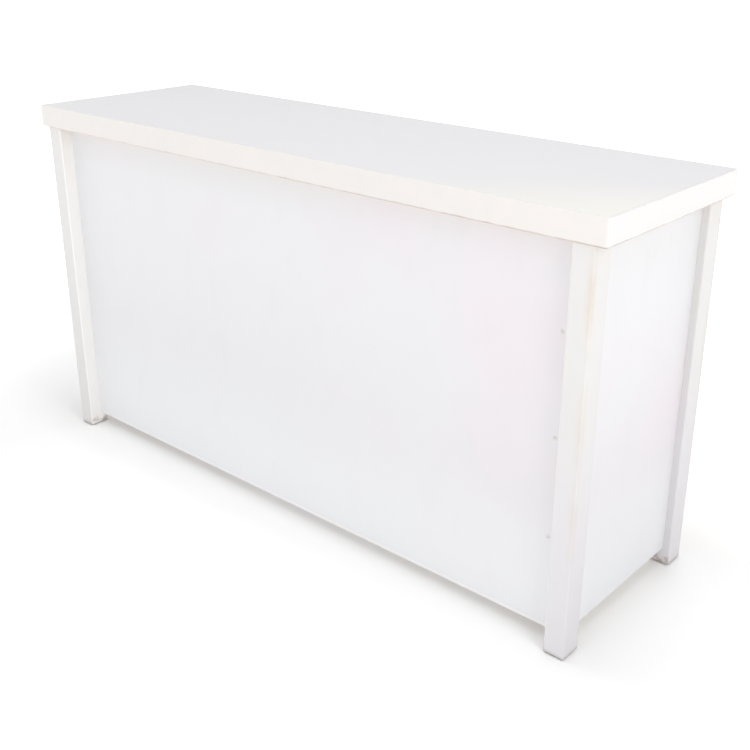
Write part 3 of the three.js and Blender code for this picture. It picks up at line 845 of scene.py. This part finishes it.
def leaf_screws(leaf, body, facing, along, count):
    """A row of countersunk screws down the middle of a hinge leaf."""
    low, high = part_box(leaf)
    normal = Vector(facing)
    axis = "XYZ".index(along)
    out = max(range(3), key=lambda i: abs(normal[i]))
    across = ({0, 1, 2} - {axis, out}).pop()
    place = Vector((0, 0, 0))
    place[out] = low[out] + LEAF_THICK if normal[out] > 0 else high[out] - LEAF_THICK
    place[across] = leaf_middle(leaf, low, high, across)
    form = bmesh.new()
    for i in range(count):
        place[axis] = low[axis] + (i + 0.5) / count * (high[axis] - low[axis])
        screw_head(form, place, normal)
    mesh_piece(f"{leaf}_screws", form, [SCREW_ZINC], body)


for side, inward in (("left", 1), ("right", -1)):
    for place in ("lower", "upper"):
        leaf_screws(f"hinge_{place}_{side}_fixed_leaf", "front_frame", (0, 1, 0), "Z", 3)
        leaf_screws(f"hinge_{place}_{side}_moving_leaf", f"{side}_end", (inward, 0, 0), "Z", 3)
    leaf_screws(f"bracket_hinge_{side}_fixed_leaf", "front_frame", (0, 1, 0), "Z", 4)
    leaf_screws(f"bracket_hinge_{side}_moving_leaf", f"{side}_bracket", (inward, 0, 0), "Z", 4)
leaf_screws("shelf_hinge_fixed_leaf", "front_frame", (0, 1, 0), "X", 8)
leaf_screws("shelf_hinge_moving_leaf", "shelf", (0, 0, 1), "X", 8)


# Floor, light and camera

def studio_floor():
    """Pale seamless paper under the bar, which fades into the white of the studio walls."""
    half_size, fade_start, fade_end = 5, 1.3, 2.8
    form = bmesh.new()
    bmesh.ops.create_grid(form, x_segments=1, y_segments=1, size=half_size)
    mesh = bpy.data.meshes.new("studio_floor")
    form.to_mesh(mesh)
    form.free()
    finish, tree, place = new_finish("pale_studio_paper")
    cloud = add(tree, "ShaderNodeTexNoise", {"Vector": place, "Scale": per_mm(900), "Detail": 2.0})
    colour = add(tree, "ShaderNodeMix", {
        SHARE: cloud, UNDER: linear("#f7f7f7"), OVER: linear("#f9f9f9"),
    }, data_type="RGBA")
    away = add(tree, "ShaderNodeVectorMath", {0: place}, operation="LENGTH")
    cover = add(tree, "ShaderNodeMapRange", {
        "Value": away, "From Min": fade_start, "From Max": fade_end, "To Min": 1.0, "To Max": 0.0,
    }, interpolation_type="SMOOTHSTEP")
    shader = add(tree, "ShaderNodeBsdfPrincipled", {
        "Base Color": colour, "Roughness": 0.9, "Specular IOR Level": 0.0, "Alpha": cover,
    })
    add(tree, "ShaderNodeOutputMaterial", {"Surface": shader})
    mesh.materials.append(finish)
    floor = bpy.data.objects.new("studio_floor", mesh)
    SCENE.collection.objects.link(floor)


def softbox(name, at, toward, size, power):
    """A white rectangular light at a place in metres, turned toward another, with its size and its watts."""
    light = bpy.data.lights.new(name, "AREA")
    light.shape = "RECTANGLE"
    light.size, light.size_y = size
    light.energy = power
    lamp = bpy.data.objects.new(name, light)
    lamp.location = at
    lamp.rotation_mode = "QUATERNION"
    lamp.rotation_quaternion = (Vector(toward) - Vector(at)).to_track_quat("-Z", "Y")
    lamp.visible_camera = False
    SCENE.collection.objects.link(lamp)


def studio_sky():
    """White studio walls that are brightest at the floor line, and a scrim overhead."""
    world = bpy.data.worlds.new("studio_sky")
    world.use_nodes = True
    tree = world.node_tree
    tree.nodes.clear()
    direction = add(tree, "ShaderNodeTexCoord", {}).outputs["Generated"]
    rise = add(tree, "ShaderNodeSeparateXYZ", {0: direction}).outputs["Z"]
    walls = add(tree, "ShaderNodeMapRange", {
        "Value": rise, "From Min": 0.0, "From Max": 0.3, "To Min": 1.45, "To Max": 0.36,
    })
    scrim = add(tree, "ShaderNodeMapRange", {
        "Value": rise, "From Min": 0.6, "From Max": 1.0, "To Min": 0.0, "To Max": 0.9,
    }, interpolation_type="SMOOTHSTEP")
    strength = add(tree, "ShaderNodeMath", {0: walls, 1: scrim}, operation="ADD")
    glow = add(tree, "ShaderNodeBackground", {"Color": linear("#ffffff"), "Strength": strength})
    add(tree, "ShaderNodeOutputWorld", {"Surface": glow})
    SCENE.world = world


def camera():
    """The photograph's view, fitted to the edges of the bar in its 750 pixel frame."""
    lens_mm, sensor_mm, image_px = 50.53, 36.0, 750
    eye = Vector((1.9794, -2.0893, 1.6155))
    aim = Vector((0.2649, -0.0804, 0.55))
    roll = math.radians(0.394)
    centre_px = (395.3, 345.0)
    data = bpy.data.cameras.new("photo_view")
    data.sensor_width = sensor_mm
    data.lens = lens_mm
    data.shift_x = (image_px / 2 - centre_px[0]) / image_px
    data.shift_y = (centre_px[1] - image_px / 2) / image_px
    view = bpy.data.objects.new("photo_view", data)
    look = (aim - eye).to_track_quat("-Z", "Y").to_matrix() @ Matrix.Rotation(roll, 3, "Z")
    view.matrix_world = Matrix.Translation(eye) @ look.to_4x4()
    SCENE.collection.objects.link(view)
    SCENE.camera = view


studio_floor()
studio_sky()
softbox("overhead_strip", (0.3, -0.25, 5.0), (0.3, -0.25, 0.0), (4.0, 0.8), 62)
softbox("right_softbox", (3.1, -1.2, 1.9), (0.9, 0.0, 0.5), (1.4, 1.4), 20)
softbox("front_softbox", (0.0, -3.6, 0.5), (0.0, -0.3, 0.3), (3.0, 0.9), 19)
softbox("left_softbox", (-3.4, -1.0, 2.2), (-1.6, 0.0, 0.0), (1.6, 1.6), 10)
softbox("rear_softbox", (1.6, 5.0, 0.9), (0.0, 0.0, 0.5), (3.0, 1.4), 30)
softbox("low_rear_softbox", (0.1, 2.2, 0.85), (0.2, 0.0, 0.0), (1.7, 0.4), 14)
SCENE.view_settings.view_transform = "Standard"
camera()
